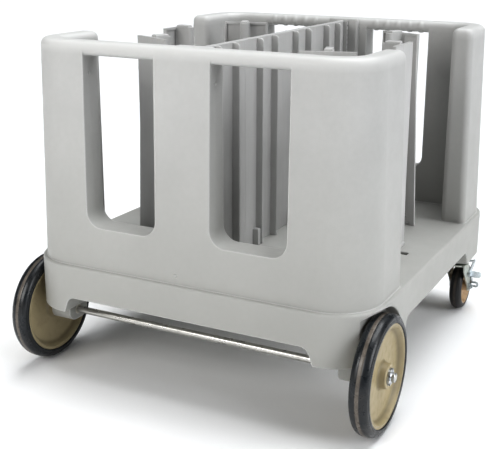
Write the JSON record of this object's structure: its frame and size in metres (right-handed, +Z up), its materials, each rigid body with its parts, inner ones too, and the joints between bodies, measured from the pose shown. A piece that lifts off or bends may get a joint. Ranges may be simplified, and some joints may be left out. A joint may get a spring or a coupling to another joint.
{
  "type": "plate dispenser cart",
  "caption": "Wheeled plate cart: moulded base with windowed end walls, ribbed spine, sliding T-shaped towers, large fixed wheels on an axle and braked swivel casters.",
  "frame": {"origin": "middle of the footprint, on the floor that the wheels stand on", "axes": "+X runs along the wheel axle to the right seen from the large-wheel end, +Y from the large wheels to the swivel casters, +Z up"},
  "size_m": [0.8958, 0.987, 0.762],
  "materials": {
    "body_plastic": "moulded polyethylene, light warm grey, satin",
    "tower_plastic": "moulded, light grey, satin",
    "plug_plastic": "moulded, pale grey",
    "nylon": "natural nylon",
    "wheel_centre": "moulded, beige",
    "wheel_tread": "dark slate rubber with a tan wear band",
    "caster_centre": "moulded, tan",
    "caster_tread": "black rubber",
    "steel": "plain bright steel",
    "zinc": "zinc plated steel"
  },
  "bodies": {
    "cart": {"cart_body": "body_plastic", "vent_plugs": "plug_plastic", "axle_shaft": "steel", "axle_washers": "steel", "caster_bolts": "zinc", "near_spine_rack": "tower_plastic", "far_spine_rack": "tower_plastic", "spine_panel_1": "tower_plastic", "spine_panel_2": "tower_plastic", "spine_panel_3": "tower_plastic", "spine_panel_4": "tower_plastic", "left_axle_bush": "nylon", "left_push_nut": "zinc", "left_caster_top_plate": "zinc", "left_caster_kingpin": "zinc", "right_axle_bush": "nylon", "right_push_nut": "zinc", "right_caster_top_plate": "zinc", "right_caster_kingpin": "zinc"},
    "left_wheel": {"left_wheel_hub": "wheel_centre", "left_wheel_tyre": "wheel_tread", "left_wheel_bush": "nylon"},
    "left_caster": {"left_caster_ball_race": "zinc", "left_caster_fork": "zinc", "left_caster_sleeve": "steel", "left_caster_axle_bolt": "zinc", "left_caster_axle_nut": "zinc", "left_caster_brake_pin": "zinc"},
    "left_caster_wheel": {"left_caster_hub": "caster_centre", "left_caster_tyre": "caster_tread"},
    "left_brake": {"left_caster_brake_lever": "zinc"},
    "right_wheel": {"right_wheel_hub": "wheel_centre", "right_wheel_tyre": "wheel_tread", "right_wheel_bush": "nylon"},
    "right_caster": {"right_caster_ball_race": "zinc", "right_caster_fork": "zinc", "right_caster_sleeve": "steel", "right_caster_axle_bolt": "zinc", "right_caster_axle_nut": "zinc", "right_caster_brake_pin": "zinc"},
    "right_caster_wheel": {"right_caster_hub": "caster_centre", "right_caster_tyre": "caster_tread"},
    "right_brake": {"right_caster_brake_lever": "zinc"},
    "left_near_tower": {"left_near_tower": "tower_plastic", "left_near_tower_shoe": "nylon"},
    "left_middle_tower": {"left_middle_tower": "tower_plastic", "left_middle_tower_shoe": "nylon"},
    "left_far_tower": {"left_far_tower": "tower_plastic", "left_far_tower_shoe": "nylon"},
    "right_near_tower": {"right_near_tower": "tower_plastic", "right_near_tower_shoe": "nylon"},
    "right_middle_tower": {"right_middle_tower": "tower_plastic", "right_middle_tower_shoe": "nylon"},
    "right_far_tower": {"right_far_tower": "tower_plastic", "right_far_tower_shoe": "nylon"}
  },
  "joints": [
    {"name": "left_wheel_spin", "type": "hinge", "parent": "cart", "child": "left_wheel", "pos_m": [-0.4125, -0.3665, 0.127], "axis": [1, 0, 0], "continuous": true},
    {"name": "left_caster_swivel", "type": "hinge", "parent": "cart", "child": "left_caster", "pos_m": [-0.38, 0.3385, 0.14], "axis": [0, 0, 1], "continuous": true},
    {"name": "left_caster_spin", "type": "hinge", "parent": "left_caster", "child": "left_caster_wheel", "pos_m": [-0.38, 0.3805, 0.0635], "axis": [1, 0, 0], "continuous": true},
    {"name": "left_brake_press", "type": "hinge", "parent": "left_caster", "child": "left_brake", "pos_m": [-0.4053, 0.3665, 0.104], "axis": [-1, 0, 0], "range_deg": [0, 7.7]},
    {"name": "right_wheel_spin", "type": "hinge", "parent": "cart", "child": "right_wheel", "pos_m": [0.4125, -0.3665, 0.127], "axis": [1, 0, 0], "continuous": true},
    {"name": "right_caster_swivel", "type": "hinge", "parent": "cart", "child": "right_caster", "pos_m": [0.38, 0.3385, 0.14], "axis": [0, 0, 1], "continuous": true},
    {"name": "right_caster_spin", "type": "hinge", "parent": "right_caster", "child": "right_caster_wheel", "pos_m": [0.38, 0.3805, 0.0635], "axis": [1, 0, 0], "continuous": true},
    {"name": "right_brake_press", "type": "hinge", "parent": "right_caster", "child": "right_brake", "pos_m": [0.4053, 0.3665, 0.104], "axis": [-1, 0, 0], "range_deg": [0, 7.7]},
    {"name": "left_near_tower_slide", "type": "slide", "parent": "cart", "child": "left_near_tower", "axis": [0.4226, 0.9063, 0], "range_m": [-0.035, 0.07]},
    {"name": "left_middle_tower_slide", "type": "slide", "parent": "cart", "child": "left_middle_tower", "axis": [1, 0, 0], "range_m": [-0.035, 0.07]},
    {"name": "left_far_tower_slide", "type": "slide", "parent": "cart", "child": "left_far_tower", "axis": [0.309, -0.9511, 0], "range_m": [-0.035, 0.07]},
    {"name": "right_near_tower_slide", "type": "slide", "parent": "cart", "child": "right_near_tower", "axis": [-0.4226, -0.9063, 0], "range_m": [-0.035, 0.07]},
    {"name": "right_middle_tower_slide", "type": "slide", "parent": "cart", "child": "right_middle_tower", "axis": [-1, 0, 0], "range_m": [-0.035, 0.07]},
    {"name": "right_far_tower_slide", "type": "slide", "parent": "cart", "child": "right_far_tower", "axis": [-0.309, 0.9511, 0], "range_m": [-0.035, 0.07]}
  ]
}
